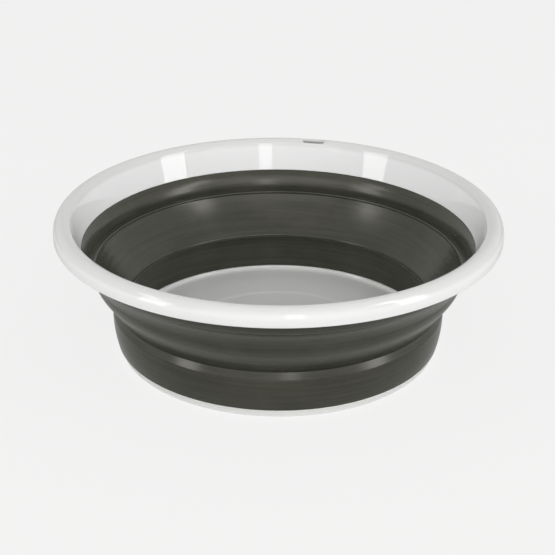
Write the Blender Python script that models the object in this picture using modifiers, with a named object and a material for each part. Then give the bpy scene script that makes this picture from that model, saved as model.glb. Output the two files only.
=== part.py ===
"""Round collapsible wash basin: a white rim and a white base joined by a folding rubber wall.

Metres, +Z up. The origin is the centre of the foot ring, on the surface that the basin stands on.
Every piece is turned about the Z axis, and only the hanging slot in the rim breaks the symmetry.
"""
import math

import bmesh
import bpy

MM = 0.001

# Shared by all pieces
SEGMENTS = 60
SEAT_GAP = 0.3 * MM  # between two pieces that touch
MERGE_DISTANCE = 0.03 * MM
CUT_OVERRUN = 5 * MM  # how far a cutter runs past what it cuts
EDGE_STEPS = 2  # straight steps in a rounded edge of a profile
CURVE_STEPS = 5  # in a tight bend
LONG_CURVE_STEPS = 9  # and in a long one
SMOOTH_ANGLE = math.radians(35)

# Rim: a thin shell whose lip is a half-round bead over a short skirt
RIM_RADIUS = 185 * MM
RIM_HEIGHT = 117.7 * MM  # top of the lip, the height of the whole basin
RIM_WALL = 2.4 * MM
LIP_WIDTH = 15.6 * MM
LIP_CROWN = 10 * MM  # rise of the half-round above its two edges
LIP_SKIRT = 4.2 * MM
WHITE_WALL_RUN = 6.2 * MM  # from the lip's inner edge in to where the white wall meets the rubber
RIM_FOOT_HEIGHT = 91.5 * MM

# Hanging slot through the top of the lip, on the +Y side
SLOT_LENGTH = 21 * MM
SLOT_WIDTH = 6 * MM
SLOT_INSET = 1.2 * MM  # from the crest of the lip in to the middle of the slot

# Rubber wall: its thicknesses and its two fold lines
RUBBER_WALL = 3.2 * MM
MIDDLE_WALL = 3 * MM  # of the cone between the two folds
FOLD_WALL = 1.6 * MM  # the rubber is thinnest at the upper fold
UPPER_BAND_RUN = 8 * MM  # from the foot of the white wall in to the outside of the upper fold
UPPER_FOLD_HEIGHT = 72.5 * MM
MIDDLE_BAND_RUN = 18.4 * MM  # from the outside of the upper fold in to the root of the lower one
LOWER_FOLD_HEIGHT = 41.4 * MM

# Upper band: a lap on the outside of the white wall, and a bead inside above the fold
LAP_HEIGHT = 7 * MM
LAP_THICKNESS = 2 * MM
BEAD_RADIUS = 1.2 * MM
BEAD_REACH = 1.2 * MM  # how far the bead stands in from the fold
BELLY_ACROSS = 0.31  # the upper band's bend, as a share of its run from the bead to the white wall
BELLY_UP = 0.15  # and of its rise

# Middle band: nearly upright down to a knuckle outside, then a cone to the lower fold
KNUCKLE_DROP = 6.5 * MM  # below the upper fold
KNUCKLE_TAPER = 0.8 * MM  # from the upper fold in to the knuckle
KNUCKLE_ROUND = 2.5 * MM
FOLD_SWEEP = 9 * MM  # how far up the cone its inside is still bending away from the nose

# Lower band: a nose inside, a rounded shoulder outside, then a wall that narrows to the base
NOSE_RADIUS = 2.2 * MM
NOSE_REACH = 9.4 * MM  # from the root of the lower fold in to the tip of the nose
NOSE_SLOPE = math.radians(30)  # where the cone leaves the nose, from level
SHOULDER_REACH = 2.6 * MM  # from the root of the lower fold out to the widest of the shoulder
SHOULDER_ROUND = 3.5 * MM
WALL_TAPER = 3.2 * MM  # from the shoulder in to the foot of the wall

# Base: a shallow tray on a foot ring, with a tongue that the rubber is moulded over
BASE_EDGE_HEIGHT = 6.9 * MM
BASE_TAPER = 2.8 * MM  # of the base's outer edge, from its top to the ground
FLOOR_EDGE_DROP = 0.6 * MM  # of the floor's edge below the base's outer edge
BASE_ROUND = 1 * MM
FLOOR_THICKNESS = 2.2 * MM
FOOT_DEPTH = 0.8 * MM
FOOT_WIDTH = 8 * MM
FOOT_TAPER = 1 * MM
STEP_DEPTH = 0.5 * MM  # of the round panel pressed into the floor
STEP_RUN = 2.2 * MM
LEDGE_WIDTH = 25.8 * MM  # of the level ring round the panel
SAUCER_RUN = 24.5 * MM  # where the floor rises like a saucer, up to the rubber
SAUCER_SLOPE = math.radians(62)  # at its edge
TONGUE_THICKNESS = 1.2 * MM
TONGUE_HEIGHT = 4 * MM

# Radii from the basin's axis, worked inwards from the rim, and the heights that follow
LIP_EDGE_HEIGHT = RIM_HEIGHT - LIP_CROWN
LIP_CREST_RADIUS = RIM_RADIUS - LIP_WIDTH / 2
SLOT_RADIUS = LIP_CREST_RADIUS - SLOT_INSET
RIM_FOOT_RADIUS = RIM_RADIUS - LIP_WIDTH - WHITE_WALL_RUN  # inner face
UPPER_FOLD_RADIUS = RIM_FOOT_RADIUS - UPPER_BAND_RUN  # outer face
LOWER_FOLD_RADIUS = UPPER_FOLD_RADIUS - MIDDLE_BAND_RUN
SHOULDER_RADIUS = LOWER_FOLD_RADIUS + SHOULDER_REACH
WALL_FOOT_RADIUS = SHOULDER_RADIUS - WALL_TAPER
BASE_RADIUS = WALL_FOOT_RADIUS - BASE_TAPER
FLOOR_EDGE_RADIUS = WALL_FOOT_RADIUS - RUBBER_WALL
FLOOR_BEND_RADIUS = FLOOR_EDGE_RADIUS - SAUCER_RUN
PANEL_RADIUS = FLOOR_BEND_RADIUS - LEDGE_WIDTH - STEP_RUN
FLOOR_HEIGHT = FOOT_DEPTH + FLOOR_THICKNESS
FLOOR_EDGE_HEIGHT = BASE_EDGE_HEIGHT - FLOOR_EDGE_DROP
LEVEL = (1, 0)


def moved(point, direction, distance):
    return (point[0] + direction[0] * distance, point[1] + direction[1] * distance)


def unit(start, end):
    across, up = end[0] - start[0], end[1] - start[1]
    length = math.hypot(across, up)
    return (across / length, up / length)


def ellipse(centre, width, height, first, last, steps=CURVE_STEPS):
    """Points on an ellipse between two angles, in radians from the +radius side."""
    angles = [first + (last - first) * k / steps for k in range(steps + 1)]
    return [(centre[0] + width * math.cos(a), centre[1] + height * math.sin(a)) for a in angles]


def bend(start, corner, end, steps=CURVE_STEPS):
    """A curve that leaves start towards corner and reaches end from corner."""
    points = []
    for k in range(steps + 1):
        t = k / steps
        near, middle, far = (1 - t) ** 2, 2 * t * (1 - t), t**2
        points.append(tuple(near * s + middle * c + far * e for s, c, e in zip(start, corner, end)))
    return points


def crossing(point, direction, other, other_direction):
    """Where two lines in the profile plane meet."""
    det = direction[0] * other_direction[1] - direction[1] * other_direction[0]
    across, up = other[0] - point[0], other[1] - point[1]
    return moved(point, direction, (across * other_direction[1] - up * other_direction[0]) / det)


def crown_arc(centre, width, height, inner_end):
    """The lip's rounding, over its crest from the angle at its inner end to its outer edge."""
    inner_half = ellipse(centre, width, height, inner_end, math.pi / 2)
    return inner_half + ellipse(centre, width, height, math.pi / 2, 0)[1:]


def touching_angle(foot, centre, width, height):
    """The angle at which a line from foot, below and inside an ellipse, touches its inner side."""
    across, up = (foot[0] - centre[0]) / width, (foot[1] - centre[1]) / height
    return math.atan2(up, across) % math.tau - math.acos(1 / math.hypot(across, up))


# The white wall runs straight from the rubber up to where it touches the lip's rounding
LIP_CENTRE = (LIP_CREST_RADIUS, LIP_EDGE_HEIGHT)
WHITE_WALL_FOOT = (RIM_FOOT_RADIUS, RIM_FOOT_HEIGHT)
LIP_TURN = touching_angle(WHITE_WALL_FOOT, LIP_CENTRE, LIP_WIDTH / 2, LIP_CROWN)
WHITE_WALL_HEAD = ellipse(LIP_CENTRE, LIP_WIDTH / 2, LIP_CROWN, LIP_TURN, LIP_TURN)[0]
WALL_UP = unit(WHITE_WALL_FOOT, WHITE_WALL_HEAD)
WALL_OUT = (WALL_UP[1], -WALL_UP[0])

# Outside, the middle band runs straight from its knuckle to the root of the lower fold
KNUCKLE = (UPPER_FOLD_RADIUS - KNUCKLE_TAPER, UPPER_FOLD_HEIGHT - KNUCKLE_DROP)
FOLD_ROOT = (LOWER_FOLD_RADIUS, LOWER_FOLD_HEIGHT)
CONE_UP = unit(FOLD_ROOT, KNUCKLE)

# Inside, it leaves the round nose of the lower fold at a slope
NOSE_LEAVING = (math.cos(NOSE_SLOPE), math.sin(NOSE_SLOPE))
NOSE_DROP = NOSE_RADIUS * NOSE_LEAVING[0]
NOSE_CENTRE = (LOWER_FOLD_RADIUS - NOSE_REACH + NOSE_RADIUS, LOWER_FOLD_HEIGHT - NOSE_DROP)
NOSE_TOP = (NOSE_CENTRE[0] - NOSE_RADIUS * NOSE_LEAVING[1], LOWER_FOLD_HEIGHT)

# The shoulder rounds out from the same root, and the lower band narrows straight to the base
SHOULDER_START = math.acos(1 - SHOULDER_REACH / SHOULDER_ROUND)
SHOULDER_HEIGHT = LOWER_FOLD_HEIGHT - SHOULDER_ROUND * math.sin(SHOULDER_START)
SHOULDER_CENTRE = (SHOULDER_RADIUS - SHOULDER_ROUND, SHOULDER_HEIGHT)
BAND_FOOT = (WALL_FOOT_RADIUS, BASE_EDGE_HEIGHT + SEAT_GAP)
BAND_DOWN = unit((SHOULDER_RADIUS, SHOULDER_HEIGHT), BAND_FOOT)
BAND_INWARD = (BAND_DOWN[1], -BAND_DOWN[0])
TONGUE_INSET = (RUBBER_WALL - TONGUE_THICKNESS) / 2


def rim_profile():
    """Down the lip and the outside of the wall, then back up the inside of the shell."""
    crown = crown_arc(LIP_CENTRE, LIP_WIDTH / 2, LIP_CROWN, LIP_TURN)
    skirt_foot = LIP_EDGE_HEIGHT - LIP_SKIRT
    skirt = [(RIM_RADIUS, skirt_foot), (RIM_RADIUS - RIM_WALL, skirt_foot)]
    wall_back = moved(WHITE_WALL_FOOT, WALL_OUT, RIM_WALL)
    width, height = LIP_WIDTH / 2 - RIM_WALL, LIP_CROWN - RIM_WALL
    hollow = crown_arc(LIP_CENTRE, width, height, touching_angle(wall_back, LIP_CENTRE, width, height))
    return crown + skirt + hollow[::-1] + [wall_back, WHITE_WALL_FOOT]


def upper_band_profile():
    """From the lap outside the white wall, down to the upper fold and back up the inside."""
    lap_head = moved(WHITE_WALL_FOOT, WALL_UP, LAP_HEIGHT)
    seat = moved(WHITE_WALL_FOOT, WALL_UP, -SEAT_GAP)
    lap_inset = RIM_WALL + SEAT_GAP
    lap_outer = moved(lap_head, WALL_OUT, lap_inset + LAP_THICKNESS)
    lap_inner = moved(lap_head, WALL_OUT, lap_inset)
    seat_outer = moved(seat, WALL_OUT, lap_inset)

    inner_radius = UPPER_FOLD_RADIUS - FOLD_WALL
    groove = (inner_radius + BEAD_RADIUS, UPPER_FOLD_HEIGHT + 2 * BEAD_RADIUS)
    across, up = seat[0] - groove[0], seat[1] - groove[1]
    belly = (groove[0] + BELLY_ACROSS * across, groove[1] + BELLY_UP * up)
    inner_curve = bend(groove, belly, seat)

    outer_head = moved(seat, WALL_OUT, lap_inset + LAP_THICKNESS)
    outer_foot = (UPPER_FOLD_RADIUS, UPPER_FOLD_HEIGHT)

    bead_centre = (inner_radius - BEAD_REACH + BEAD_RADIUS, UPPER_FOLD_HEIGHT + BEAD_RADIUS)
    bead = ellipse(bead_centre, BEAD_RADIUS, BEAD_RADIUS, -math.pi / 2, -3 * math.pi / 2)
    return [lap_outer, outer_head, outer_foot] + bead + inner_curve + [seat_outer, lap_inner]


def middle_band_profile():
    """Down the outside over the knuckle, then up the inside from the nose of the lower fold."""
    head = UPPER_FOLD_HEIGHT - SEAT_GAP
    foot = LOWER_FOLD_HEIGHT + SEAT_GAP
    outer_head = (UPPER_FOLD_RADIUS, head)
    round_start = moved(KNUCKLE, unit(KNUCKLE, outer_head), KNUCKLE_ROUND)
    knuckle = bend(round_start, KNUCKLE, moved(KNUCKLE, CONE_UP, -KNUCKLE_ROUND))
    outer_foot = crossing(FOLD_ROOT, CONE_UP, (0, foot), LEVEL)

    inner_foot = crossing(NOSE_TOP, NOSE_LEAVING, (0, foot), LEVEL)
    inner_knee = moved(KNUCKLE, (-CONE_UP[1], CONE_UP[0]), MIDDLE_WALL)
    corner = crossing(inner_foot, NOSE_LEAVING, inner_knee, CONE_UP)
    sweep = bend(inner_foot, corner, moved(corner, CONE_UP, FOLD_SWEEP), LONG_CURVE_STEPS)
    inner_head = (UPPER_FOLD_RADIUS - FOLD_WALL, head)
    return [outer_head] + knuckle + [outer_foot] + sweep + [inner_knee, inner_head]


def lower_band_profile():
    """The shoulder, the wall that stands on the base, and the nose of the lower fold."""
    shoulder = ellipse(SHOULDER_CENTRE, SHOULDER_ROUND, SHOULDER_ROUND, SHOULDER_START, 0)
    inner_round = SHOULDER_ROUND - RUBBER_WALL
    hollow = ellipse(SHOULDER_CENTRE, inner_round, inner_round, 0, math.pi / 2)
    inner_line = moved(BAND_FOOT, BAND_INWARD, RUBBER_WALL)
    inner_foot = crossing(inner_line, BAND_DOWN, (0, FLOOR_EDGE_HEIGHT + SEAT_GAP), LEVEL)
    nose_end = math.pi / 2 + NOSE_SLOPE
    nose = ellipse(NOSE_CENTRE, NOSE_RADIUS, NOSE_RADIUS, 3 * math.pi / 2, nose_end)
    return shoulder + [BAND_FOOT] + tongue_outline(SEAT_GAP) + [inner_foot] + hollow + nose


def tongue_outline(clearance):
    """The base's tongue, or with a clearance the groove for it, outer side first."""
    outer_line = moved(BAND_FOOT, BAND_INWARD, TONGUE_INSET - clearance)
    inner_line = moved(BAND_FOOT, BAND_INWARD, TONGUE_INSET + TONGUE_THICKNESS + clearance)
    head = BASE_EDGE_HEIGHT + TONGUE_HEIGHT + clearance
    outer_heights = (BASE_EDGE_HEIGHT + clearance, head)
    inner_heights = (head, FLOOR_EDGE_HEIGHT + clearance)
    outer_side = [crossing(outer_line, BAND_DOWN, (0, height), LEVEL) for height in outer_heights]
    inner_side = [crossing(inner_line, BAND_DOWN, (0, height), LEVEL) for height in inner_heights]
    return outer_side + inner_side


def base_profile():
    """Down the edge, along the foot ring and the underside, then back along the floor."""
    edge_foot = BASE_RADIUS - BASE_ROUND
    rounded = ellipse((edge_foot, BASE_ROUND), BASE_ROUND, BASE_ROUND, 0, -math.pi / 2, EDGE_STEPS)
    foot_inner = edge_foot - FOOT_WIDTH
    underside = [(foot_inner, 0), (foot_inner - FOOT_TAPER, FOOT_DEPTH), (0, FOOT_DEPTH)]
    panel = [(0, FLOOR_HEIGHT), (PANEL_RADIUS, FLOOR_HEIGHT)]
    ledge = FLOOR_HEIGHT + STEP_DEPTH
    step = [(PANEL_RADIUS + STEP_RUN, ledge)]
    saucer_end = (FLOOR_EDGE_RADIUS, FLOOR_EDGE_HEIGHT)
    edge_run = (FLOOR_EDGE_HEIGHT - ledge) / math.tan(SAUCER_SLOPE)
    saucer = bend((FLOOR_BEND_RADIUS, ledge), (FLOOR_EDGE_RADIUS - edge_run, ledge), saucer_end)
    tongue = tongue_outline(0)[::-1]
    edge = [(WALL_FOOT_RADIUS, BASE_EDGE_HEIGHT)]
    return edge + rounded + underside + panel + step + saucer + tongue


def material(name, colour, roughness):
    made = bpy.data.materials.new(name)
    made.use_nodes = True
    shader = made.node_tree.nodes["Principled BSDF"]
    shader.inputs["Base Color"].default_value = (*colour, 1)
    shader.inputs["Roughness"].default_value = roughness
    shader.inputs["Metallic"].default_value = 0
    made.diffuse_color = (*colour, 1)
    return made


def turned(name, profile, finish, collection):
    """One closed profile turned about the Z axis."""
    mesh = bpy.data.meshes.new(name)
    shape = bmesh.new()
    verts = [shape.verts.new((radius, 0, height)) for radius, height in profile]
    on_axis = [radius == 0 for radius, _ in profile]
    for k, vert in enumerate(verts):
        following = (k + 1) % len(verts)
        if not (on_axis[k] and on_axis[following]):
            shape.edges.new((vert, verts[following]))
    shape.to_mesh(mesh)
    shape.free()
    piece = bpy.data.objects.new(name, mesh)
    collection.objects.link(piece)
    mesh.materials.append(finish)
    screw = piece.modifiers.new("turn", "SCREW")
    screw.axis = "Z"
    screw.steps = screw.render_steps = SEGMENTS
    screw.use_merge_vertices = True
    screw.merge_threshold = MERGE_DISTANCE
    return piece


def slot_cutter(collection):
    """A stadium-shaped plug that stands through the crown of the lip."""
    mesh = bpy.data.meshes.new("slot_cutter")
    shape = bmesh.new()
    depth = RIM_WALL + 2 * CUT_OVERRUN
    straight = (SLOT_LENGTH - SLOT_WIDTH) / 2
    outline = []
    for side, first in ((1, -math.pi / 2), (-1, math.pi / 2)):
        centre, radius = (side * straight, SLOT_RADIUS), SLOT_WIDTH / 2
        for x, y in ellipse(centre, radius, radius, first, first + math.pi):
            outline.append(shape.verts.new((x, y, RIM_HEIGHT - depth / 2)))
    face = shape.faces.new(outline)
    grown = bmesh.ops.extrude_face_region(shape, geom=[face])["geom"]
    risen = [g for g in grown if isinstance(g, bmesh.types.BMVert)]
    bmesh.ops.translate(shape, verts=risen, vec=(0, 0, depth))
    bmesh.ops.recalc_face_normals(shape, faces=shape.faces)
    shape.to_mesh(mesh)
    shape.free()
    cutter = bpy.data.objects.new("slot_cutter", mesh)
    cutter.hide_render = True
    cutter.display_type = "WIRE"
    collection.objects.link(cutter)
    return cutter


def cut(piece, cutter):
    boolean = piece.modifiers.new("cut", "BOOLEAN")
    boolean.operation = "DIFFERENCE"
    boolean.solver = "EXACT"
    boolean.object = cutter


def finished(piece):
    """Keeps the turned and cut shape as the piece's own mesh, smooth but for its real edges."""
    shaped = piece.evaluated_get(bpy.context.evaluated_depsgraph_get())
    mesh = bpy.data.meshes.new_from_object(shaped)
    mesh.name = piece.name
    piece.modifiers.clear()
    piece.data = mesh
    mesh.shade_smooth()
    mesh.set_sharp_from_angle(angle=SMOOTH_ANGLE)


def main():
    for leftover in list(bpy.data.objects):
        bpy.data.objects.remove(leftover, do_unlink=True)
    parts = bpy.data.collections.new("collapsible_wash_basin")
    cutters = bpy.data.collections.new("cutters")
    for collection in (parts, cutters):
        bpy.context.scene.collection.children.link(collection)

    white = material("white_plastic", (0.82, 0.82, 0.80), 0.18)
    grey = material("grey_rubber", (0.055, 0.055, 0.048), 0.42)

    rim = turned("rim_ring", rim_profile(), white, parts)
    cut(rim, slot_cutter(cutters))
    rim_side = [rim, turned("upper_wall_band", upper_band_profile(), grey, parts)]
    base_side = [
        turned("middle_fold_band", middle_band_profile(), grey, parts),
        turned("lower_wall_band", lower_band_profile(), grey, parts),
        turned("base_tray", base_profile(), white, parts),
    ]
    for piece in rim_side + base_side:
        finished(piece)

    # The rim and what moves with it hang from one empty on the sliding axis
    slide = bpy.data.objects.new("rim_slide", None)
    parts.objects.link(slide)
    for piece in rim_side:
        piece.parent = slide


main()
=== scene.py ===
# %% [markdown]
# # A collapsible wash basin, dressed around its CAD frame
#
# The basin is three mouldings: a glossy white rim, a dark rubber wall that folds down on itself, and a
# white base. All three are turned shapes. This file first loads the imported CAD model, whose bodies move.
# Then it makes a finer piece for each moulding, gives it a finish, and puts the rim and the base on the
# bodies that carry them. Lengths are in metres, and the basin stands on the floor at the origin with its
# axis along Z.

# %% Load the fixed frame
import math

import bmesh
import bpy
from mathutils import Matrix, Vector


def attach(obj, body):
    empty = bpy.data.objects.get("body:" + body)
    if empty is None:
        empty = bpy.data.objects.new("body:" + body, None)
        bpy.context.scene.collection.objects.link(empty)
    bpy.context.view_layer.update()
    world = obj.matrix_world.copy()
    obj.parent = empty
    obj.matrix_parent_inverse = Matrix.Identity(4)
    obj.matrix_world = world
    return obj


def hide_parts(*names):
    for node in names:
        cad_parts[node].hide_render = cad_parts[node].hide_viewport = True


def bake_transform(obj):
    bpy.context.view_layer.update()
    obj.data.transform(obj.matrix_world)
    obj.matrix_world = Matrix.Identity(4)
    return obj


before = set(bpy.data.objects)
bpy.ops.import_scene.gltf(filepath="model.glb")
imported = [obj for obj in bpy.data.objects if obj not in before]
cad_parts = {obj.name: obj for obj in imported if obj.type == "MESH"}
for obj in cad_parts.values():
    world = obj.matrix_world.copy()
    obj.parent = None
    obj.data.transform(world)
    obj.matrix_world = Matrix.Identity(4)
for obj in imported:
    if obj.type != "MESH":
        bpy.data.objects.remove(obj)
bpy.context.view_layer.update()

MM = 0.001

# %% [markdown]
# ## Drawing a profile
#
# A profile is a chain of (radius, height) points, and a turned piece is only as good as its profile. It
# could be drawn by hand as a curve. Here it is worked out from sizes, so that a size can be changed and
# the shape follows. Two kinds of curve are enough for such mouldings: an arc of an ellipse, and a bend
# that leaves one point towards a knee and reaches another point from there.

# %% Points, directions and curves
FINE, ROUND, BROAD, LONG = 8, 16, 24, 28  # steps in a curve, from a tight one to the longest


def moved(point, direction, distance):
    return (point[0] + direction[0] * distance, point[1] + direction[1] * distance)


def unit(start, end):
    across, up = end[0] - start[0], end[1] - start[1]
    length = math.hypot(across, up)
    return (across / length, up / length)


def arc(centre, width, height, first, last, steps=FINE):
    """Points on an ellipse between two angles, in radians from the +radius side."""
    angles = [first + (last - first) * k / steps for k in range(steps + 1)]
    return [(centre[0] + width * math.cos(a), centre[1] + height * math.sin(a)) for a in angles]


def bend(start, knee, end, steps=FINE):
    """A curve that leaves start towards a knee and reaches end from there."""
    points = []
    for k in range(steps + 1):
        t = k / steps
        near, middle, far = (1 - t) ** 2, 2 * t * (1 - t), t**2
        points.append(tuple(near * s + middle * m + far * e for s, m, e in zip(start, knee, end)))
    return points


print("points in a tight curve", len(arc((0, 0), 1, 1, 0, math.pi)), "steps in the longest", LONG)

# %% [markdown]
# ## Rounding the corners
#
# Real mouldings have no knife edges. Even a "sharp" one is rounded by a few tenths of a millimetre, and
# that rounding catches the light as a thin bright line. A Bevel modifier would give all edges one width,
# so here each corner of a profile is marked with a radius of its own, and one function rounds them all.

# %% Mark corners and round them
CORNER_STEPS = 5
GENTLE_RADIUS = 2 * MM  # a corner as broad as this gets as many steps as a round curve
SIDE_SHARE = 0.45  # how much of each neighbouring side a corner may use up


def corner(point, radius):
    """Marks a profile point as a corner that softened() rounds by this radius."""
    return (point[0], point[1], radius)


def softened(outline):
    """Rounds the marked corners of a profile and returns plain points."""
    points = []
    for k, point in enumerate(outline):
        if len(point) == 2:
            points.append(point)
            continue
        before, after = outline[k - 1], outline[(k + 1) % len(outline)]
        spot, radius = point[:2], point[2]
        back, ahead = unit(spot, before[:2]), unit(spot, after[:2])
        half = math.acos(max(-1, min(1, back[0] * ahead[0] + back[1] * ahead[1]))) / 2
        room = SIDE_SHARE * min(math.dist(spot, before[:2]), math.dist(spot, after[:2]))
        run = min(radius / math.tan(half), room)
        steps = CORNER_STEPS if radius < GENTLE_RADIUS else ROUND
        points += bend(moved(spot, back, run), spot, moved(spot, ahead, run), steps)
    return points


print("steps in a small corner", CORNER_STEPS)

# %% [markdown]
# ## Writing node graphs as Python
#
# The turned shape, the finishes and the light of the room are all graphs of nodes, and a graph is tedious
# to write one link at a time. Two small classes take that over. A Value stands for an output socket, and
# its arithmetic operators add Math nodes, so that `0.2 + 0.05 * streaks` is a piece of graph. A Graph
# adds any other node by one method, which takes the node's settings and what feeds its sockets.

# %% Values with arithmetic
class Value:
    """One output socket of a graph, such as a number that varies over a surface."""

    def __init__(self, graph, socket):
        self.graph, self.socket = graph, socket

    def maths(self, operation, first, second):
        return self.graph.node("ShaderNodeMath", {"operation": operation}, {0: first, 1: second})

    def __add__(self, other): return self.maths("ADD", self, other)
    def __radd__(self, other): return self.maths("ADD", other, self)
    def __sub__(self, other): return self.maths("SUBTRACT", self, other)
    def __rsub__(self, other): return self.maths("SUBTRACT", other, self)
    def __mul__(self, other): return self.maths("MULTIPLY", self, other)
    def __rmul__(self, other): return self.maths("MULTIPLY", other, self)


# %% Graphs that add nodes by one method
class Graph:
    """A node tree under construction."""

    def __init__(self, tree):
        self.tree = tree

    def node(self, kind, settings=None, sockets=None, output=0):
        """Adds a node: its settings first, then the values or links of its sockets."""
        added = self.tree.nodes.new(kind)
        for name, setting in (settings or {}).items():
            setattr(added, name, setting)
        for name, value in (sockets or {}).items():
            self.feed(added.inputs[name], value)
        return Value(self, added.outputs[output])

    def feed(self, socket, value):
        """Links a Value to a socket, or sets the socket to a plain number or colour."""
        if isinstance(value, Value):
            self.tree.links.new(value.socket, socket)
        elif socket.type == "RGBA":
            socket.default_value = (*value, 1)
        else:
            socket.default_value = value


class Finish(Graph):
    """The graph of a material, with its main shader at hand."""

    def __init__(self, name):
        self.material = bpy.data.materials.new(name)
        self.material.use_nodes = True
        super().__init__(self.material.node_tree)
        self.shader = self.tree.nodes["Principled BSDF"]

    def set(self, **values):
        """Sets or links sockets of the shader itself, written with _ for a space."""
        for name, value in values.items():
            self.feed(self.shader.inputs[name.replace("_", " ")], value)


print("classes for graphs", [kind.__name__ for kind in (Value, Graph, Finish)])

# %% [markdown]
# ## Turning a profile with Geometry Nodes
#
# A potter's wheel is the right picture: one profile goes round one axis. The Screw or Spin tools could do
# it, and so could a loop in mesh code. A node tree is used here because the rule is the same for all
# three mouldings, and its inputs say what can be changed: the profile, how many steps there are round the
# circle, and the finish. Curve to Mesh carries the profile along a circle, so the profile is first laid
# down as offsets from that circle. Points on the axis are merged, so that a tray's middle is closed.

# %% The turning tree
TURNING_INPUTS = {
    "Profile": "NodeSocketGeometry",
    "Turning Radius": "NodeSocketFloat",
    "Steps Round": "NodeSocketInt",
    "Merge Distance": "NodeSocketFloat",
    "Finish": "NodeSocketMaterial",
}


def turning_tree():
    tree = bpy.data.node_groups.new("turned_on_the_axis", "GeometryNodeTree")
    for name, kind in TURNING_INPUTS.items():
        tree.interface.new_socket(name, in_out="INPUT", socket_type=kind)
    tree.interface.new_socket("Piece", in_out="OUTPUT", socket_type="NodeSocketGeometry")
    graph, start, end = Graph(tree), tree.nodes.new("NodeGroupInput"), tree.nodes.new("NodeGroupOutput")
    profile, radius, steps, merge, finish = (Value(graph, start.outputs[name]) for name in TURNING_INPUTS)

    # a profile point (radius, 0, height) becomes (radius - turning radius, -height, 0)
    place = graph.node("GeometryNodeInputPosition")
    out = graph.node("ShaderNodeSeparateXYZ", sockets={0: place}, output="X")
    up = graph.node("ShaderNodeSeparateXYZ", sockets={0: place}, output="Z")
    flat = graph.node("ShaderNodeCombineXYZ", sockets={"X": out - radius, "Y": -1 * up})
    laid = graph.node("GeometryNodeSetPosition", sockets={"Geometry": profile, "Position": flat})
    outline = graph.node("GeometryNodeMeshToCurve", sockets={"Mesh": laid})

    circle = graph.node("GeometryNodeCurvePrimitiveCircle", sockets={"Resolution": steps, "Radius": radius})
    skin = graph.node("GeometryNodeCurveToMesh", sockets={"Curve": circle, "Profile Curve": outline})
    joined = graph.node("GeometryNodeMergeByDistance", sockets={"Geometry": skin, "Distance": merge})
    real = graph.node("GeometryNodeRealizeInstances", sockets={"Geometry": joined})
    piece = graph.node("GeometryNodeSetMaterial", sockets={"Geometry": real, "Material": finish})
    graph.feed(end.inputs["Piece"], piece)
    return tree


TURNING = turning_tree()
INPUTS = {item.name: item.identifier for item in TURNING.interface.items_tree if item.in_out == "INPUT"}
print("turning tree inputs", sorted(INPUTS))

# %% [markdown]
# ## From the tree to a plain mesh
#
# A modifier is only a recipe, and the piece that is handed on has to be a mesh of its own. So the tree
# runs once, its result is kept, and the modifier goes. The faces are turned outwards and shaded smooth,
# apart from edges that are really sharp.

# %% Run the tree and keep the result
STEPS_ROUND = 256
TURNING_RADIUS = 150 * MM
MERGE = 0.01 * MM
SMOOTH_ANGLE = math.radians(40)


def plain(piece):
    """The piece's evaluated shape as its own mesh, with no modifier left on it."""
    mesh = bpy.data.meshes.new_from_object(piece.evaluated_get(bpy.context.evaluated_depsgraph_get()))
    mesh.name = piece.name
    piece.modifiers.clear()
    piece.data = mesh
    return mesh


def outward(mesh):
    shape = bmesh.new()
    shape.from_mesh(mesh)
    bmesh.ops.recalc_face_normals(shape, faces=shape.faces)
    shape.to_mesh(mesh)
    shape.free()


def smooth(mesh):
    mesh.shade_smooth()
    mesh.set_sharp_from_angle(angle=SMOOTH_ANGLE)


def added_to_scene(name, data):
    thing = bpy.data.objects.new(name, data)
    bpy.context.scene.collection.objects.link(thing)
    return thing


def turned(name, outline, finish, closed=True):
    """Turns a profile about Z. An open one starts and ends on the axis."""
    mesh = bpy.data.meshes.new(name)
    count = len(outline)
    edges = [(k, (k + 1) % count) for k in range(count if closed else count - 1)]
    mesh.from_pydata([(r, 0, z) for r, z in outline], edges, [])
    piece = added_to_scene(name, mesh)
    turn = piece.modifiers.new("turn", "NODES")
    turn.node_group = TURNING
    turn[INPUTS["Turning Radius"]] = TURNING_RADIUS
    turn[INPUTS["Steps Round"]] = STEPS_ROUND
    turn[INPUTS["Merge Distance"]] = MERGE
    turn[INPUTS["Finish"]] = finish
    made = plain(piece)
    outward(made)
    smooth(made)
    print(name, "points in profile", count, "faces", len(made.polygons))
    return piece


print("steps round the axis", STEPS_ROUND)

# %% [markdown]
# ## Patterns for the finishes
#
# Both finishes vary over the piece, and both read Object coordinates, which stay with the piece when it
# moves. The patterns are noise at several scales. What comes out of them is narrowed to a band, used to
# blend two colours, or turned into relief by a Bump node.

# %% Patterns that both finishes use
def place_on_piece(finish):
    return finish.node("ShaderNodeTexCoord", output="Object")


def height_of(finish, where):
    return finish.node("ShaderNodeSeparateXYZ", sockets={0: where}, output="Z")


def noise(finish, where, scale, detail, roughness):
    sockets = {"Vector": where, "Scale": scale, "Detail": detail, "Roughness": roughness}
    return finish.node("ShaderNodeTexNoise", sockets=sockets)


def band(finish, value, low, high):
    """0 below low, 1 above high, and a soft step between."""
    sockets = {"Value": value, "From Min": low, "From Max": high}
    return finish.node("ShaderNodeMapRange", {"interpolation_type": "SMOOTHSTEP"}, sockets)


def blended(finish, factor, first, second):
    """A mix of two colours. The sockets 0, 6 and 7 are the Mix node's factor and its two colours."""
    return finish.node("ShaderNodeMix", {"data_type": "RGBA"}, {0: factor, 6: first, 7: second}, output=2)


def relief(finish, pattern, strength, distance, under=None):
    """Bumps from a pattern, laid over other relief where some is given."""
    sockets = {"Height": pattern, "Strength": strength, "Distance": distance}
    if under is not None:
        sockets["Normal"] = under
    return finish.node("ShaderNodeBump", sockets=sockets)


print("patterns", [make.__name__ for make in (noise, band, blended, relief)])
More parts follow.
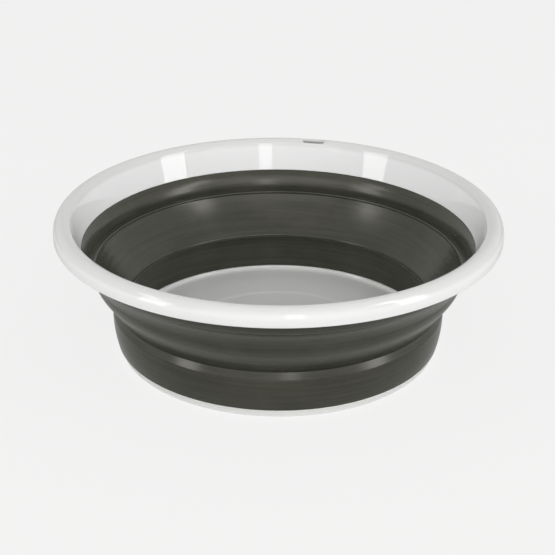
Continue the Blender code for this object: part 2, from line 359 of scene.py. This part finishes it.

# %% [markdown]
# ## White plastic
#
# The rim and the base are glossy moulded plastic, most likely polypropylene. Its gloss is real but not
# perfect: the skin sinks and swells a little as it cools, so the windows that it reflects have slightly
# wavering edges, and handling dulls it in faint cloudy patches. A flat white would look like paper. The
# waviness is a low bump from slow noise, and the dulling is in the roughness. The white has three tones,
# for the lip, the sloping wall and the tray, and they are painted light and shade: the lip's is darker and
# the wall's and the tray's paler, so that all look almost equally pale though the lip catches far more
# light. Each changes into the next over a few millimetres of height.

# %% The finish of the rim and the base
# one white in three tones of painted light and shade: darker on the lip, paler on the wall and the tray
LIP_WHITE_PAINTED_SHADE = (0.755, 0.758, 0.746), (0.768, 0.77, 0.758)
WALL_WHITE_PAINTED_LIGHT = (0.872, 0.875, 0.872), (0.886, 0.889, 0.885)
TRAY_WHITE_PAINTED_LIGHT = (0.85, 0.856, 0.835), (0.865, 0.87, 0.85)
TRAY_TO_WALL, WALL_TO_LIP = (20 * MM, 30 * MM), (111 * MM, 114.5 * MM)  # heights where the painted light and shade pass from one tone to the next
CLEAN_WHITE_ROUGHNESS, DULLED_BY = 0.012, 0.03


def white_plastic():
    finish = Finish("white_plastic_gloss")
    where = place_on_piece(finish)
    slow = noise(finish, where, scale=9, detail=2, roughness=0.4)
    cloudy = noise(finish, where, scale=34, detail=4, roughness=0.6)
    fine = noise(finish, where, scale=900, detail=2, roughness=0.5)
    height = height_of(finish, where)
    # the lip, wall and tray tones put painted shade on the lip and painted light on the wall and the tray
    lip, wall, tray = (blended(finish, slow, *tones) for tones in (LIP_WHITE_PAINTED_SHADE, WALL_WHITE_PAINTED_LIGHT, TRAY_WHITE_PAINTED_LIGHT))
    colour = blended(finish, band(finish, height, *WALL_TO_LIP), wall, lip)
    colour = blended(finish, band(finish, height, *TRAY_TO_WALL), tray, colour)
    roughness = CLEAN_WHITE_ROUGHNESS + DULLED_BY * band(finish, cloudy, low=0.42, high=0.7)
    swell = relief(finish, slow, strength=0.2, distance=0.9 * MM)
    skin = relief(finish, fine, strength=0.02, distance=0.03 * MM, under=swell)
    finish.set(Base_Color=colour, Roughness=roughness, Normal=skin, Metallic=0.0, IOR=1.5)
    return finish.material


WHITE = white_plastic()
print("white plastic nodes", len(WHITE.node_tree.nodes))

# %% [markdown]
# ## Grey rubber
#
# The wall is a thermoplastic rubber, dark grey with a slightly olive cast and a satin skin. Seen close it
# is not even: flow in the mould leaves faint streaks that run round the wall, dust and handling leave
# paler blotches, and there is a fine speckle. The streaks come from noise that is read by direction from
# the axis and by height, with the height stretched, so they follow the ring and never show a seam. The
# roughness varies only a little, so that the windows' reflections stay soft and whole on every band.

# %% Streaks that run round the basin
ALONG_STREAK, ACROSS_STREAK = 1.6, 420  # how fast the noise changes round the wall, and up it


def round_the_axis(finish, where, along, up):
    """A place for patterns that run round the basin: direction from the axis, and height."""
    level = finish.node("ShaderNodeVectorMath", {"operation": "MULTIPLY"}, {0: where, 1: (1, 1, 0)})
    ring = finish.node("ShaderNodeVectorMath", {"operation": "NORMALIZE"}, {0: level})
    ring = finish.node("ShaderNodeVectorMath", {"operation": "SCALE"}, {0: ring, "Scale": along})
    rise = finish.node("ShaderNodeCombineXYZ", sockets={"Z": height_of(finish, where) * up})
    return finish.node("ShaderNodeVectorMath", {"operation": "ADD"}, {0: ring, 1: rise})


# %% The finish of the folding wall
RUBBER_TONES = (0.031, 0.0315, 0.0235), (0.053, 0.0535, 0.041)
STREAK_SHARE, BLOTCH_SHARE, SPECKLE_SHARE = 0.45, 0.35, 0.2
RUBBER_ROUGHNESS, ROUGHER_IN_BLOTCHES, ROUGHER_IN_STREAKS = 0.195, 0.05, 0.02
RUBBER_GLOSS_TINT = (1.0, 0.98, 0.9)


def grey_rubber():
    finish = Finish("grey_rubber_satin")
    where = place_on_piece(finish)
    ring = round_the_axis(finish, where, ALONG_STREAK, ACROSS_STREAK)
    streaks = noise(finish, ring, scale=1, detail=4, roughness=0.6)
    blotches = noise(finish, where, scale=26, detail=4, roughness=0.6)
    speckle = noise(finish, where, scale=1500, detail=2, roughness=0.5)
    tone = STREAK_SHARE * streaks + BLOTCH_SHARE * blotches + SPECKLE_SHARE * speckle
    colour = blended(finish, band(finish, tone, low=0.36, high=0.66), *RUBBER_TONES)
    patches = band(finish, blotches, low=0.35, high=0.7)
    roughness = RUBBER_ROUGHNESS + ROUGHER_IN_BLOTCHES * patches + ROUGHER_IN_STREAKS * streaks
    lines = relief(finish, streaks, strength=0.25, distance=0.15 * MM)
    grain = relief(finish, speckle, strength=0.2, distance=0.06 * MM, under=lines)
    finish.set(Base_Color=colour, Roughness=roughness, Normal=grain, Metallic=0.0)
    finish.set(IOR=1.47, Specular_Tint=RUBBER_GLOSS_TINT)
    return finish.material


RUBBER = grey_rubber()
print("grey rubber nodes", len(RUBBER.node_tree.nodes))

# %% [markdown]
# ## The sizes that the pieces share
#
# The pieces meet where the CAD part's solids meet, so these radii and heights are the part's own. Only
# the edge of the tray's floor is half a millimetre higher. Each piece adds its own sizes further down.
# Most of those are the part's too, and the rest are details that are finer than its solids: the crisp
# edge inside the lip, the curve inside the upper band, a gentler step in the tray's floor. All of them
# stay inside the part's box.

# %% Sizes that more than one piece needs
RIM_WALL, RUBBER_WALL = 2.4 * MM, 3.2 * MM
WHITE_FOOT = (163.2 * MM, 91.5 * MM)  # inner face of the white wall, where the rubber begins
UPPER_FOLD = (155.2 * MM, 72.5 * MM)  # outside of the wall
LOWER_FOLD = (136.8 * MM, 41.4 * MM)  # the crease on the outside
BAND_FOOT = (136.2 * MM, 7.2 * MM)  # outer foot of the rubber, just above the base's edge
FLOOR_EDGE = (132.8 * MM, 6.8 * MM)  # where the tray's floor meets the rubber
SEAT_GAP = 0.3 * MM
print("the wall folds at heights", round(LOWER_FOLD[1] / MM, 1), "and", round(UPPER_FOLD[1] / MM, 1), "mm")

# %% [markdown]
# ## The white rim
#
# The rim is one thin shell. Its lip is a half-round bead that the hands hold, with a short skirt outside,
# and its sloping wall runs down to the rubber. The wall ends at the lip in a crisp edge with a small
# rounding, which the light picks out as a clean line all round. Behind that edge the shell is hollow, so
# the inside of the lip is a smaller ellipse, and its back wall starts where a line from the foot touches
# that ellipse.

# %% The rim's profile
RIM_RADIUS = 185 * MM
LIP_CENTRE, LIP_HALF, LIP_RISE, LIP_FOOT = (177.2 * MM, 107.7 * MM), 7.8 * MM, 10 * MM, 103.5 * MM
LIP_EDGE_RUN, LIP_EDGE_ROUND = 24.8 * MM, 2.2 * MM  # how far up the wall its edge is, and its rounding
CROWN_START = math.radians(110)
SKIRT_ROUND, SKIRT_INNER_ROUND = 0.8 * MM, 0.6 * MM
FOOT_BACK_ROUND, FOOT_ROUND = 0.3 * MM, 0.5 * MM


def touching_angle(foot, centre, width, height):
    """The angle at which a line from foot, below and inside an ellipse, touches its inner side."""
    across, up = (foot[0] - centre[0]) / width, (foot[1] - centre[1]) / height
    return math.atan2(up, across) % math.tau - math.acos(1 / math.hypot(across, up))


LIP_TURN = touching_angle(WHITE_FOOT, LIP_CENTRE, LIP_HALF, LIP_RISE)
WHITE_HEAD = arc(LIP_CENTRE, LIP_HALF, LIP_RISE, LIP_TURN, LIP_TURN)[0]
WALL_UP = unit(WHITE_FOOT, WHITE_HEAD)
WALL_OUT = (WALL_UP[1], -WALL_UP[0])


def rim_profile():
    edge = corner(moved(WHITE_FOOT, WALL_UP, LIP_EDGE_RUN), LIP_EDGE_ROUND)
    crown = [edge] + arc(LIP_CENTRE, LIP_HALF, LIP_RISE, CROWN_START, 0, LONG)
    skirt = [corner((RIM_RADIUS, LIP_FOOT), SKIRT_ROUND)]
    skirt.append(corner((RIM_RADIUS - RIM_WALL, LIP_FOOT), SKIRT_INNER_ROUND))
    wall_back = moved(WHITE_FOOT, WALL_OUT, RIM_WALL)
    width, height = LIP_HALF - RIM_WALL, LIP_RISE - RIM_WALL
    hollow = arc(LIP_CENTRE, width, height, 0, touching_angle(wall_back, LIP_CENTRE, width, height), LONG)
    foot = [corner(wall_back, FOOT_BACK_ROUND), corner(WHITE_FOOT, FOOT_ROUND)]
    return softened(crown + skirt + hollow + foot)


white_rim = turned("white_rim", rim_profile(), WHITE)

# %% [markdown]
# ## The hanging slot
#
# One slot goes through the crown of the lip, so that the basin can hang on a hook. A Boolean with a plain
# block would leave knife edges. The cutter here is a plug whose sides flare out like a trumpet where they
# leave the plastic, and because the crown is curved, the flare follows its height all the way round.

# %% The plug that cuts the slot
SLOT_RADIUS, SLOT_LENGTH, SLOT_WIDTH = 175.4 * MM, 21 * MM, 6 * MM
SLOT_ROUND = 0.5 * MM
FLARE_END, FLARE_STEPS, FLARE_RUN = math.radians(72), 6, 0.9 * MM
PLUG_DEPTH, PLUG_HEAD = 12 * MM, 6 * MM


def crown_height(x, y):
    across = (math.hypot(x, y) - LIP_CENTRE[0]) / LIP_HALF
    return LIP_CENTRE[1] + LIP_RISE * math.sqrt(max(0, 1 - across**2))


def slot_outline(grown):
    """The slot's outline in plan, two half circles and two straight sides, grown by a distance."""
    straight, radius = (SLOT_LENGTH - SLOT_WIDTH) / 2, SLOT_WIDTH / 2 + grown
    right = arc((straight, SLOT_RADIUS), radius, radius, -math.pi / 2, math.pi / 2, ROUND)
    left = arc((-straight, SLOT_RADIUS), radius, radius, math.pi / 2, 3 * math.pi / 2, ROUND)
    return right + left


def plug_levels():
    """How far the plug has grown at each level, and how high that level is over the crown."""
    levels = [(0, -PLUG_DEPTH), (0, -SLOT_ROUND)]
    for k in range(1, FLARE_STEPS + 1):
        turn = FLARE_END * k / FLARE_STEPS
        levels.append((SLOT_ROUND * (1 - math.cos(turn)), SLOT_ROUND * (math.sin(turn) - 1)))
    grown, rise = levels[-1]
    levels.append((grown + FLARE_RUN, rise + FLARE_RUN / math.tan(FLARE_END)))
    levels.append((grown + FLARE_RUN, rise + PLUG_HEAD))
    return levels


def slot_plug():
    shape = bmesh.new()
    rings = []
    for grown, rise in plug_levels():
        outline = slot_outline(grown)
        rings.append([shape.verts.new((x, y, crown_height(x, y) + rise)) for x, y in outline])
    for low, high in zip(rings, rings[1:]):
        for k in range(len(low)):
            following = (k + 1) % len(low)
            shape.faces.new((low[k], low[following], high[following], high[k]))
    shape.faces.new(rings[0][::-1])
    shape.faces.new(rings[-1])
    bmesh.ops.triangulate(shape, faces=[f for f in shape.faces if len(f.verts) > 4])
    bmesh.ops.recalc_face_normals(shape, faces=shape.faces)
    mesh = bpy.data.meshes.new("slot_plug")
    shape.to_mesh(mesh)
    shape.free()
    return added_to_scene("slot_plug", mesh)


print("levels in the plug", len(plug_levels()))

# %% Cut the slot
plug = slot_plug()
cut = white_rim.modifiers.new("slot", "BOOLEAN")
cut.operation, cut.solver, cut.object = "DIFFERENCE", "EXACT", plug
smooth(plain(white_rim))
bpy.data.objects.remove(plug, do_unlink=True)
print("white_rim with its slot", len(white_rim.data.polygons), "faces")

# %% [markdown]
# ## The folding wall
#
# The rubber is one moulding from the white wall to the base. Its profile is all the basin's character:
# a lap that grips the outside of the white wall, an upper fold with a thin bead inside, a smooth middle
# band that rolls inside out when the basin is pushed flat, a crease at the lower fold with a round nose
# inside, a shoulder and an upright wall. Cloth simulation would be the wrong tool here, because this wall
# is a moulded shape and not a sheet. It is drawn as one profile, first down the outside and then up the
# inside, so the bends are as exact as the mould's.

# %% Down the outside of the wall
LAP_HEIGHT, LAP_THICKNESS = 7 * MM, 2 * MM
LAP_INNER_ROUND, LAP_OUTER_ROUND = 0.2 * MM, 0.8 * MM
UPPER_WAIST = (158.6 * MM, 81.4 * MM)  # what the outside of the upper band bends towards
KNUCKLE, KNUCKLE_RUN = (154.4 * MM, 66 * MM), 7 * MM
CONE_UP = unit(LOWER_FOLD, KNUCKLE)
CREASE_DEPTH, CREASE_HALF, CREASE_ROUND = 0.9 * MM, 0.25 * MM, 0.12 * MM
SHOULDER_EDGE, SHOULDER_EASE, SHOULDER_DROP = (139.4 * MM, 34.8 * MM), 5 * MM, 2 * MM
WALL_BELLY = (139.6 * MM, 20 * MM)  # what the upright wall bends towards
BAND_FOOT_ROUND = 0.35 * MM


def upper_outside():
    """The lap on the white wall and the outside of the upper band, down to the fold."""
    lap_head = moved(WHITE_FOOT, WALL_UP, LAP_HEIGHT)
    seat = moved(WHITE_FOOT, WALL_UP, -SEAT_GAP / 2)
    inset = RIM_WALL + SEAT_GAP / 2
    head = [corner(moved(lap_head, WALL_OUT, inset), LAP_INNER_ROUND)]
    head.append(corner(moved(lap_head, WALL_OUT, inset + LAP_THICKNESS), LAP_OUTER_ROUND))
    lap_foot = moved(seat, WALL_OUT, inset + LAP_THICKNESS)
    return head + bend(lap_foot, UPPER_WAIST, UPPER_FOLD, ROUND)[:-1]


def middle_outside():
    """The outside of the middle band: over its knuckle and straight down the cone to the crease."""
    above, below = moved(LOWER_FOLD, CONE_UP, CREASE_HALF), moved(LOWER_FOLD, CONE_UP, -CREASE_HALF)
    deep = ((above[0] + below[0]) / 2 - CREASE_DEPTH, LOWER_FOLD[1])
    knuckle = bend(UPPER_FOLD, KNUCKLE, moved(KNUCKLE, CONE_UP, -KNUCKLE_RUN), ROUND)
    return knuckle + [corner(above, CREASE_ROUND), deep]


def lower_outside():
    """The sloping top of the shoulder, its edge, and the slightly barrelled wall down to the base."""
    root = moved(LOWER_FOLD, unit(LOWER_FOLD, SHOULDER_EDGE), CREASE_HALF)
    shoulder = [corner(root, CREASE_ROUND), corner(SHOULDER_EDGE, SHOULDER_EASE)]
    wall_top = (SHOULDER_EDGE[0], SHOULDER_EDGE[1] - SHOULDER_DROP)
    wall = bend(wall_top, WALL_BELLY, BAND_FOOT, ROUND)
    return shoulder + wall[:-1] + [corner(BAND_FOOT, BAND_FOOT_ROUND)]


outside = upper_outside() + middle_outside() + lower_outside()
print("points down the outside", len(outside))

# %% Up the inside of the wall
FOLD_WALL = 1.6 * MM
SHOULDER_CENTRE, SHOULDER_ROUND = (135.9 * MM, 38.018 * MM), 3.5 * MM
NOSE_CENTRE, NOSE_RADIUS = (129.6 * MM, 39.495 * MM), 2.2 * MM
NOSE_LEAVING, NOSE_STEPS = math.radians(48), 20  # how far from upright the wall is as it leaves the nose
MIDDLE_KNEE = (142.3 * MM, 53.9 * MM)  # what the middle band bends towards
BEAD_RADIUS, BEAD_REACH, BEAD_DROP = 1.2 * MM, 1.2 * MM, 0.9 * MM
UNDERCUT_IN, UNDERCUT_UP, GROOVE_RUN = 0.1 * MM, 0.12 * MM, 0.5 * MM
UPPER_KNEE = (155.6 * MM, 84 * MM)  # what the upper band bends towards above the bead
SEAT_ROUND = 0.3 * MM


def crossing(point, direction, other, other_direction):
    """Where two lines in the profile plane meet."""
    det = direction[0] * other_direction[1] - direction[1] * other_direction[0]
    across, up = other[0] - point[0], other[1] - point[1]
    return moved(point, direction, (across * other_direction[1] - up * other_direction[0]) / det)


def inside_up():
    """From the foot of the wall inside, up past the nose and the cone to the upper fold."""
    down = unit((SHOULDER_CENTRE[0] + SHOULDER_ROUND, SHOULDER_CENTRE[1]), BAND_FOOT)
    inner_line = moved(BAND_FOOT, (down[1], -down[0]), RUBBER_WALL)
    inner_foot = crossing(inner_line, down, (0, FLOOR_EDGE[1] + SEAT_GAP), (1, 0))
    inner_round = SHOULDER_ROUND - RUBBER_WALL
    hollow = arc(SHOULDER_CENTRE, inner_round, inner_round, 0, math.pi / 2, FINE)
    leaving = math.pi - NOSE_LEAVING
    nose = arc(NOSE_CENTRE, NOSE_RADIUS, NOSE_RADIUS, 3 * math.pi / 2, leaving, NOSE_STEPS)
    head = (UPPER_FOLD[0] - FOLD_WALL, UPPER_FOLD[1] - SEAT_GAP - BEAD_DROP)
    middle = bend(nose[-1], MIDDLE_KNEE, head, BROAD)
    return [corner(inner_foot, SEAT_ROUND)] + hollow + nose[:-1] + middle


def bead_and_band():
    """The bead over a fine undercut, the groove above it and the band up to the white wall."""
    inner, level = UPPER_FOLD[0] - FOLD_WALL, UPPER_FOLD[1] - BEAD_DROP
    undercut = [(inner + UNDERCUT_IN, level - UNDERCUT_UP)]
    centre = (inner - BEAD_REACH + BEAD_RADIUS, level + BEAD_RADIUS)
    bead = arc(centre, BEAD_RADIUS, BEAD_RADIUS, -math.pi / 2, -3 * math.pi / 2, ROUND)
    groove = (inner + BEAD_RADIUS + GROOVE_RUN, level + 2 * BEAD_RADIUS)
    seat = moved(WHITE_FOOT, WALL_UP, -SEAT_GAP / 2)
    curve = bend(groove, UPPER_KNEE, seat, BROAD)[:-1] + [corner(seat, SEAT_ROUND)]
    back = [moved(seat, WALL_OUT, RIM_WALL + SEAT_GAP / 2)]
    return undercut + bead + curve + back


inside = inside_up() + bead_and_band()
print("points up the inside", len(inside))

# %% Turn the wall
folding_wall = turned("folding_wall", softened(outside + inside), RUBBER)

# %% [markdown]
# ## The white base
#
# The base is a flat tray: a level panel in the middle, a gentle step up to a ledge, and then a rise like
# a saucer's that ends in a small cove against the rubber. Below, it stands on a narrow ring so that it
# doesn't rock on a worktop, and in the middle is the small mark where the plastic entered the mould. A
# disc would have done for the photo, but the floor fills the view from above and the underside fills the
# one from below.

# %% The tray's floor, from the axis out
FLOOR_HEIGHT, LEDGE_HEIGHT = 3 * MM, 3.5 * MM
PANEL_RADIUS, STEP_RUN, STEP_ROUND, SAUCER_RADIUS = 80.5 * MM, 4 * MM, 2 * MM, 108.5 * MM
COVE, COVE_END, COVE_TOP_ROUND = 4.4 * MM, math.radians(76), 0.2 * MM


def tray_floor():
    """From the axis out to the rubber."""
    panel = [(0, FLOOR_HEIGHT), corner((PANEL_RADIUS, FLOOR_HEIGHT), STEP_ROUND)]
    step = [corner((PANEL_RADIUS + STEP_RUN, LEDGE_HEIGHT), STEP_ROUND)]
    foot = (FLOOR_EDGE[0] - COVE * math.sin(COVE_END), FLOOR_EDGE[1] - COVE * (1 - math.cos(COVE_END)))
    centre = (foot[0], foot[1] + COVE)
    cove = arc(centre, COVE, COVE, -math.pi / 2, COVE_END - math.pi / 2, ROUND)
    seat = (FLOOR_EDGE[0] + RUBBER_WALL / 2, FLOOR_EDGE[1])
    rise = [(SAUCER_RADIUS, LEDGE_HEIGHT)] + cove[:-1] + [corner(cove[-1], COVE_TOP_ROUND)]
    return panel + step + rise + [seat]


print("the floor rises", round((FLOOR_EDGE[1] - FLOOR_HEIGHT) / MM, 1), "mm to the rubber")

# %% The edge and the underside, back to the axis
BASE_RADIUS, BASE_TOP, BASE_ROUND = 133.4 * MM, 6.9 * MM, 1 * MM
EDGE_INNER_ROUND, EDGE_ROUND = 0.1 * MM, 0.4 * MM
RING_WIDTH, RING_DEPTH, RING_SLOPE, RING_ROUND = 8 * MM, 0.8 * MM, 1 * MM, 0.4 * MM
MARK_RADIUS, MARK_DEPTH, MARK_SLOPE, MARK_ROUND = 6 * MM, 0.4 * MM, 0.6 * MM, 0.3 * MM
NUB_RADIUS, NUB_SLOPE, NUB_RECESS, NUB_ROUND = 1.3 * MM, 0.2 * MM, 0.1 * MM, 0.15 * MM


def underside():
    """From the foot ring in to the gate mark on the axis."""
    ring_edge, roof = BASE_RADIUS - BASE_ROUND - RING_WIDTH, RING_DEPTH + MARK_DEPTH
    ring = [corner((ring_edge, 0), RING_ROUND), corner((ring_edge - RING_SLOPE, RING_DEPTH), RING_ROUND)]
    mark = [corner((MARK_RADIUS, RING_DEPTH), MARK_ROUND)]
    mark.append(corner((MARK_RADIUS - MARK_SLOPE, roof), MARK_ROUND))
    nub_end = RING_DEPTH + NUB_RECESS
    nub = [corner((NUB_RADIUS, roof), NUB_ROUND), corner((NUB_RADIUS - NUB_SLOPE, nub_end), NUB_ROUND)]
    return ring + mark + nub + [(0, nub_end)]


def base_profile():
    """Open, from the axis out along the floor, down the edge and back along the underside."""
    edge = [corner((FLOOR_EDGE[0] + RUBBER_WALL / 2, BASE_TOP), EDGE_INNER_ROUND)]
    edge.append(corner((BAND_FOOT[0], BASE_TOP), EDGE_ROUND))
    edge += arc((BASE_RADIUS - BASE_ROUND, BASE_ROUND), BASE_ROUND, BASE_ROUND, 0, -math.pi / 2, FINE)
    return softened(tray_floor() + edge + underside())


white_base = turned("white_base", base_profile(), WHITE, closed=False)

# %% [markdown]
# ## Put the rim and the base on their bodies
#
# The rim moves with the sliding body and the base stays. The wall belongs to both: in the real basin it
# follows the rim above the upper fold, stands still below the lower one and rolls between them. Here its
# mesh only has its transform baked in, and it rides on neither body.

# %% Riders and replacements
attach(white_rim, "rim")
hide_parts("rim_ring")
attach(white_base, "base")
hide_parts("base_tray")
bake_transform(folding_wall)
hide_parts("upper_wall_band", "middle_fold_band", "lower_wall_band")
print("pieces on their bodies", [piece.name for piece in (white_rim, white_base, folding_wall)])

# %% [markdown]
# ## The camera
#
# A photo of a round thing says a lot about its camera: the rim is a circle, so how flat its ellipse looks
# gives the viewing angle, and how much wider the near side looks than the far side gives the distance.
# The camera here is the one whose view of the turned profile fits the photo's outlines best.

# %% Camera
CAMERA_TURN = math.radians(10.6)
CAMERA_DISTANCE, CAMERA_HEIGHT = 1.089, 0.5703
PITCH, ROLL, YAW = math.radians(25.25), math.radians(0.337), math.radians(0.03)
FOCAL_PIXELS, PHOTO_PIXELS, SENSOR = 1427, 555, 36
NEAREST, FARTHEST = 0.05, 100

eye = bpy.data.cameras.new("photo_camera")
eye.sensor_width = SENSOR
eye.lens = FOCAL_PIXELS * SENSOR / PHOTO_PIXELS
eye.clip_start, eye.clip_end = NEAREST, FARTHEST
camera = added_to_scene("photo_camera", eye)
spot = Vector((math.sin(CAMERA_TURN), -math.cos(CAMERA_TURN), 0)) * CAMERA_DISTANCE
spot.z = CAMERA_HEIGHT
aim = (
    Matrix.Rotation(CAMERA_TURN + YAW, 4, "Z")
    @ Matrix.Rotation(math.pi / 2 - PITCH, 4, "X")
    @ Matrix.Rotation(ROLL, 4, "Z")
)
camera.matrix_world = Matrix.Translation(spot) @ aim
bpy.context.scene.camera = camera
print("camera at", tuple(round(c, 3) for c in spot), "lens", round(eye.lens, 2))

# %% [markdown]
# ## The windows
#
# The photo is a product shot in a bright room. Three tall windows show as clean bright bars on the white
# wall, to the left, in the middle and to the right, and each is a tall area light whose direction was
# worked out from where its bar sits. A large dim one behind the camera stands for the lit room, and two
# small high ones make the short bright marks on the rubber. A lamp's power in watts grows with its area,
# so each is given by its radiance, and the power follows from its size.

# %% Windows and lamps
WINDOWS = {  # azimuth right of the camera, elevation, both in degrees; width, height; radiance
    "right_window": (65.5, 18, 0.8, 1.85, 4.5),
    "left_window": (-59.5, 17, 0.75, 1.8, 4.0),
    "front_window": (8, 21, 0.4, 1.4, 3.7),
    "room_behind_camera": (3, 36, 4.6, 1.6, 1.08),
    "left_high": (-71, 39, 0.55, 0.6, 4.4),
    "right_high": (59, 40, 0.55, 0.6, 5.2),
}
WINDOW_DISTANCE = 3.0
LOOKED_AT = Vector((0, 0, 60 * MM))  # the middle of the basin


def window(name, azimuth, elevation, width, height, radiance):
    """A flat light that faces the basin and that the camera doesn't see."""
    turn, rise = CAMERA_TURN + math.radians(azimuth), math.radians(elevation)
    toward = Vector((math.sin(turn) * math.cos(rise), -math.cos(turn) * math.cos(rise), math.sin(rise)))
    lamp = bpy.data.lights.new(name, "AREA")
    lamp.shape, lamp.size, lamp.size_y = "RECTANGLE", width, height
    lamp.energy = radiance * math.pi * width * height
    stand = added_to_scene(name, lamp)
    facing = toward.to_track_quat("Z", "Y").to_matrix().to_4x4()
    stand.matrix_world = Matrix.Translation(LOOKED_AT + toward * WINDOW_DISTANCE) @ facing
    stand.visible_camera = False
    print(name, "energy", round(lamp.energy, 1))


for name, sizes in WINDOWS.items():
    window(name, *sizes)

# %% [markdown]
# ## The room
#
# The world gives the rest of the light. It is palest at the horizon, where a room's walls are, and
# darker overhead, so that what faces up isn't brighter than what faces the room. The photo's background
# is one plain pale tone, so Light Path sorts the rays: what the camera sees, what passes through
# something clear and what is mirrored meet that tone, and only the light comes from the gradient.

# %% World
BACKGROUND, HORIZON, ZENITH = 0.887, 0.78, 0.26
PAPER_WHITE = (1, 1, 0.997)


def rays_that_see(graph, mirrored=1):
    """1 for the camera's rays, also through clear things, a given part for mirrored ones, else 0."""
    path = graph.tree.nodes.new("ShaderNodeLightPath")
    names = "Is Camera Ray", "Is Transmission Ray", "Is Glossy Ray"
    camera_ray, clear_ray, glossy_ray = (Value(graph, path.outputs[name]) for name in names)
    return camera_ray + clear_ray + mirrored * glossy_ray


world = bpy.data.worlds.new("plain_room")
bpy.context.scene.world = world
world.use_nodes = True
room = Graph(world.node_tree)
up = height_of(room, room.node("ShaderNodeTexCoord"))
light = room.node("ShaderNodeMapRange", sockets={"Value": up, "To Min": HORIZON, "To Max": ZENITH})
ends = {"Value": rays_that_see(room), "To Min": light, "To Max": BACKGROUND}
back = world.node_tree.nodes["Background"]
room.feed(back.inputs["Color"], PAPER_WHITE)
room.feed(back.inputs["Strength"], room.node("ShaderNodeMapRange", sockets=ends))
print("world strength", HORIZON, "at the horizon,", ZENITH, "overhead, seen as", BACKGROUND)

# %% [markdown]
# ## The floor
#
# The floor is a large sheet of matt paper, so it gives light back from below and takes the basin's soft
# shadow. Seen straight it would be unevenly grey, so most of what the camera sees of it is a glow of one
# pale tone, and the rest is the paper with its shadow. Reflections get less of that glow, because the
# rubber would otherwise mirror a floor that has no shadow where the basin stands.

# %% Floor
REACH = 30
PAPER_GREY, PAPER_ROUGHNESS = (0.62, 0.62, 0.61), 0.9
SEEN_TONE, SEEN_SHARE, MIRRORED_PART = 0.97, 0.84, 0.33


def pale_floor():
    ground = Finish("pale_floor")
    ground.set(Base_Color=PAPER_GREY, Roughness=PAPER_ROUGHNESS, Specular_IOR_Level=0.0)
    glow = ground.node("ShaderNodeEmission", sockets={"Color": PAPER_WHITE, "Strength": SEEN_TONE})
    share = rays_that_see(ground, MIRRORED_PART) * SEEN_SHARE
    paper = Value(ground, ground.shader.outputs[0])
    surface = ground.node("ShaderNodeMixShader", sockets={0: share, 1: paper, 2: glow})
    ground.feed(ground.tree.nodes["Material Output"].inputs["Surface"], surface)
    return ground.material


floor_mesh = bpy.data.meshes.new("floor")
corners = [(-REACH, -REACH, 0), (REACH, -REACH, 0), (REACH, REACH, 0), (-REACH, REACH, 0)]
floor_mesh.from_pydata(corners, [], [(0, 1, 2, 3)])
floor_mesh.materials.append(pale_floor())
floor = added_to_scene("floor", floor_mesh)
print("floor", 2 * REACH, "m across")

# %% [markdown]
# ## Colours as they are
#
# The Standard view shows colours as they are written, with no film curve over them.

# %% Show colours as they are
bpy.context.scene.view_settings.view_transform = "Standard"
